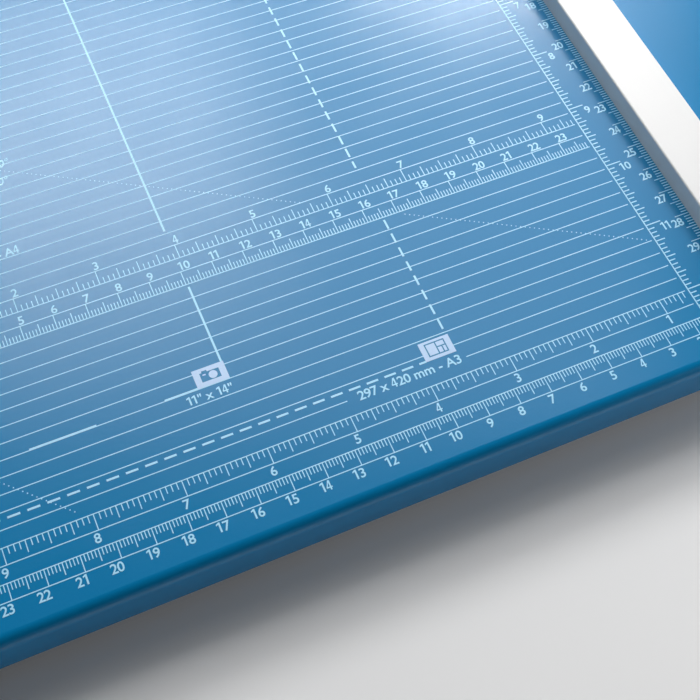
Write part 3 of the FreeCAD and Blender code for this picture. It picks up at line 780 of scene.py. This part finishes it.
def print_table():
    """All the ink on the table, each kind of mark one step above the one that it crosses."""
    ticks = Print(lift=LAYER)
    lines = Print()
    frames = Print(lift=3 * LAYER)
    boxes = Print(lift=4 * LAYER)
    dots = Print(lift=2 * LAYER)
    signs = Print(lift=6 * LAYER)
    lights = Print(lift=8 * LAYER)
    text = Lettering()
    middle_rulers(ticks, text)
    front_rulers(ticks, text)
    side_rulers(ticks, text, lambda x: x)
    side_rulers(ticks, text, lambda x: -CUT_LENGTH - x)
    grid_lines(lines)
    format_frames(frames, boxes, signs, lights, text)
    angle_lines(dots, text)
    ticks.piece("printed_ruler_ticks", "ink")
    lines.piece("printed_lines", "ink")
    frames.piece("printed_format_frames", "ink")
    dots.piece("printed_angle_dots", "ink")
    boxes.piece("printed_boxes", "box_ink")
    signs.piece("printed_signs", "table_paint")
    lights.piece("printed_sign_lights", "box_ink")
    text.piece("printed_figures", "ink")


# ---------------------------------------------------------------- details on the head, clamp and brackets


def surface_of(node):
    """Something to cast rays at: the faces of a CAD node."""
    mesh = frame["nodes"][node].data
    return BVHTree.FromPolygons([v.co for v in mesh.vertices], [p.vertices for p in mesh.polygons])


def detail_piece(made, name, material, body):
    """One small moulded or printed piece, smooth but for its sharp edges."""
    bmesh.ops.recalc_face_normals(made, faces=made.faces[:])
    obj = new_object(made, name, material)
    for face in obj.data.polygons:
        face.use_smooth = True
    obj.data.set_sharp_from_angle(angle=math.radians(SHARP_DEGREES))
    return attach(obj, body)


def low_rib(made, points, normals, side):
    """Half-round rib along points on a surface, tapered at both ends, its foot sunk into the surface."""
    turns = 8
    thin, taper_points = 0.25, 2
    rings = []
    last = len(points) - 1
    for i, (point, normal) in enumerate(zip(points, normals)):
        swell = min(1.0, thin + (1 - thin) * min(i, last - i) / taper_points)
        reach = GRIP_RIB_WIDTH * MM / 2 * swell
        foot = point - normal * (GRIP_RIB_SUNK * MM)
        ring = [made.verts.new(foot + side * (k * reach)) for k in (-1, 1)]
        for t in range(1, turns):
            angle = math.pi * t / turns
            rise = normal * (math.sin(angle) * GRIP_RIB_HEIGHT * MM * swell)
            ring.append(made.verts.new(point + side * (math.cos(angle) * reach) + rise))
        rings.append(ring)
    for a, b in zip(rings, rings[1:]):
        for i in range(len(a)):
            j = (i + 1) % len(a)
            made.faces.new((a[i], a[j], b[j], b[i]))
    made.faces.new(rings[0][::-1])
    made.faces.new(rings[-1])


def grip_ribs():
    """Raised ribs across the soft pad, where the palm pushes the head along, shorter towards its ends."""
    surface = surface_of("head_grip")
    low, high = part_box("head_grip")
    middle = (low + high) / 2
    made = bmesh.new()
    for k in range(GRIP_RIBS):
        from_middle = k - (GRIP_RIBS - 1) / 2
        x = middle.x + from_middle * GRIP_RIB_PITCH * MM
        half = (1.0 - GRIP_RIB_SHORTER * abs(from_middle)) * GRIP_RIB_HALF * MM
        points, normals = [], []
        for i in range(GRIP_RIB_POINTS):
            y = middle.y + (2 * i / (GRIP_RIB_POINTS - 1) - 1) * half
            hit, normal = surface.ray_cast(Vector((x, y, high.z + RAY_CLEARANCE)), Vector((0, 0, -1)))[:2]
            points.append(hit)
            normals.append(normal)
        low_rib(made, points, normals, Vector((1, 0, 0)))
    return detail_piece(made, "grip_ribs", "grip_rubber", "head")


def flat_marks(outlines, origin, right, up, thick, sunk):
    """Thin solids over outlines given in millimetres along right and up from origin."""
    out = right.cross(up)
    made = bmesh.new()
    for outline in outlines:
        base = [origin + right * (x * MM) + up * (y * MM) for x, y in outline]
        prism(made, [p - out * (sunk * MM) for p in base], [p + out * (thick * MM) for p in base])
    return made


def travel_arrows():
    """Two arrowheads and a bar on the sloping front of the head: it slides, and cuts, both ways."""
    surface = surface_of("head_shell_front")
    low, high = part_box("head_shell_front")
    middle = (low.x + high.x) / 2
    feet = []
    for z in (ARROW_MIDDLE_Z - ARROW_PROBE, ARROW_MIDDLE_Z + ARROW_PROBE):
        start = Vector((middle, low.y - RAY_CLEARANCE, z * MM))
        feet.append(surface.ray_cast(start, Vector((0, 1, 0)))[0])
    up = (feet[1] - feet[0]).normalized()
    origin = (feet[0] + feet[1]) / 2
    shaft, tip = ARROW_SHAFT_HALF, ARROW_TIP
    outlines = [
        rectangle(-shaft, shaft, -ARROW_LINE / 2, ARROW_LINE / 2),
        [(shaft, -ARROW_HEAD_HALF), (tip, 0.0), (shaft, ARROW_HEAD_HALF)],
        [(-shaft, ARROW_HEAD_HALF), (-tip, 0.0), (-shaft, -ARROW_HEAD_HALF)],
    ]
    made = flat_marks(outlines, origin, Vector((1, 0, 0)), up, thick=0.05, sunk=0.1)
    return detail_piece(made, "travel_arrows", "mark_ink", "head")


def cut_guide():
    """Fine line printed along the clear strip beside the blade, with a stroke at each stop."""
    low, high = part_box("clamp_strip")
    origin = Vector((0, high.y, high.z))
    half = (high.x - low.x) / 2 / MM - GUIDE_END
    outlines = [rectangle(-half, half, -GUIDE_IN - GUIDE_LINE, -GUIDE_IN)]
    for x in (LEFT_STOP / MM, RIGHT_STOP / MM):
        stroke_low, stroke_high = -GUIDE_IN - STROKE_END, -GUIDE_IN - STROKE_START
        outlines.append(rectangle(x - STROKE_HALF, x + STROKE_HALF, stroke_low, stroke_high))
    made = flat_marks(outlines, origin, Vector((1, 0, 0)), Vector((0, 1, 0)), thick=0.02, sunk=0.02)
    return detail_piece(made, "clamp_cut_guide", "mark_ink", "clamp")


def soften_edges():
    """Rounds the sharp moulded and sawn edges of the larger pieces, which catch a thin highlight."""
    for name, width in EDGE_ROUNDINGS.items():
        node = frame["nodes"][name]
        weld = node.modifiers.new("weld", "WELD")
        weld.merge_threshold = 0.01 * MM
        bevel = node.modifiers.new("edge", "BEVEL")
        bevel.width = width * MM
        bevel.segments = 3
        bevel.limit_method = "ANGLE"
        bevel.angle_limit = math.radians(50)
        bevel.harden_normals = True


def add_details():
    """Everything on the head, clamp and brackets that the frame doesn't hold."""
    grip_ribs()
    travel_arrows()
    cut_guide()
    soften_edges()


# ---------------------------------------------------------------- stage


def camera():
    """The photographed view: close above the front right corner, turned and slightly rolled."""
    target = table_point(-118.4, -284.8)
    distance = 0.3673
    azimuth = math.radians(25.63)
    elevation = math.radians(60.29)
    roll = math.radians(2.58)
    forward = Vector(
        (
            math.sin(azimuth) * math.cos(elevation),
            math.cos(azimuth) * math.cos(elevation),
            -math.sin(elevation),
        )
    )
    level = forward.cross(Vector((0, 0, 1))).normalized()
    upright = level.cross(forward)
    right = level * math.cos(roll) + upright * math.sin(roll)
    up = right.cross(forward)
    data = bpy.data.cameras.new("camera")
    data.sensor_width = 36
    data.lens = 64.39
    data.clip_start = 0.01
    data.clip_end = 2 * FLOOR_HALF
    obj = bpy.data.objects.new("camera", data)
    bpy.context.scene.collection.objects.link(obj)
    obj.matrix_world = Matrix.Translation(target - forward * distance) @ Matrix(
        (
            (right.x, up.x, -forward.x, 0),
            (right.y, up.y, -forward.y, 0),
            (right.z, up.z, -forward.z, 0),
            (0, 0, 0, 1),
        )
    )
    bpy.context.scene.camera = obj


def softbox(name, place, aim, size, power):
    """White rectangular area light that aims at a point and isn't seen: size in metres, power in watts."""
    data = bpy.data.lights.new(name, "AREA")
    data.shape = "RECTANGLE"
    data.size, data.size_y = size
    data.energy = power
    obj = bpy.data.objects.new(name, data)
    bpy.context.scene.collection.objects.link(obj)
    obj.visible_camera = False
    obj.location = place
    obj.rotation_euler = (Vector(aim) - Vector(place)).to_track_quat("-Z", "Y").to_euler()


def surround():
    """Even world light in a band above the horizon, brighter behind the object than in front of it."""
    world = bpy.data.worlds.new("surround")
    world.use_nodes = True
    nodes = world.node_tree.nodes
    links = world.node_tree.links
    direction = nodes.new("ShaderNodeTexCoord")
    split = nodes.new("ShaderNodeSeparateXYZ")
    side = nodes.new("ShaderNodeMapRange")
    side.inputs["From Min"].default_value = -1.0
    side.inputs["To Min"].default_value = HORIZON_FRONT
    side.inputs["To Max"].default_value = HORIZON_BEHIND
    band = nodes.new("ShaderNodeValToRGB")
    band.color_ramp.interpolation = "EASE"
    for i, (height, level) in enumerate(HORIZON_STEPS):
        step = band.color_ramp.elements[i] if i < 2 else band.color_ramp.elements.new(height)
        step.position = height
        step.color = (level, level, level, 1)
    both = nodes.new("ShaderNodeMath")
    both.operation = "MULTIPLY"
    links.new(direction.outputs["Generated"], split.inputs["Vector"])
    links.new(split.outputs["Y"], side.inputs["Value"])
    links.new(split.outputs["Z"], band.inputs["Fac"])
    links.new(side.outputs["Result"], both.inputs[0])
    links.new(band.outputs["Color"], both.inputs[1])
    links.new(both.outputs["Value"], nodes["Background"].inputs["Strength"])
    nodes["Background"].inputs["Color"].default_value = (0.95, 0.97, 1.0, 1)
    bpy.context.scene.world = world


def floor_paper():
    """Pale matt paper, which glows a little far from the object, where the softboxes don't reach."""
    s = Shader("floor_paper", (0.93, 0.93, 0.93), 0.9)
    s.bump(s.noise(400, 2), 0.00005, 0.2)
    distance = s.tree.nodes.new("ShaderNodeVectorMath")
    distance.operation = "LENGTH"
    s.link(s.coords.outputs["Object"], distance.inputs[0])
    s.set("Emission Color", (1, 1, 1, 1))
    glow = s.ramp(distance.outputs["Value"], GLOW_START, GLOW_END, 0, FLOOR_GLOW)
    s.link(glow, s.bsdf.inputs["Emission Strength"])
    return s.material


def stage():
    """Pale floor under the feet, the surround, and four soft lights."""
    mesh = bpy.data.meshes.new("floor")
    corners = rectangle(-FLOOR_HALF, FLOOR_HALF, -FLOOR_HALF, FLOOR_HALF)
    mesh.from_pydata([(x, y, 0) for x, y in corners], [], [(0, 1, 2, 3)])
    floor = bpy.data.objects.new("floor", mesh)
    bpy.context.scene.collection.objects.link(floor)
    mesh.materials.append(floor_paper())
    surround()
    middle = (0, 0, TABLE_TOP)
    right_half = (0.15, 0, TABLE_TOP)
    softbox("softbox_behind", (0.201, 1.421, 1.694), middle, size=(0.80, 0.62), power=11.6)
    softbox("softbox_right", (0.66, 0.718, 0.601), right_half, size=(0.22, 0.22), power=7.1)
    softbox("softbox_near", (0.273, 0.275, 0.344), right_half, size=(0.56, 0.56), power=2.02)
    softbox("softbox_front", (0.85, -0.60, 0.36), (RIGHT_STOP, -0.18, 0), size=(0.4, 0.3), power=2.0)
    bpy.context.scene.view_settings.view_transform = "Standard"


# ---------------------------------------------------------------- assembly

dress_cad_nodes()
camera()
stage()
print_table()
add_details()
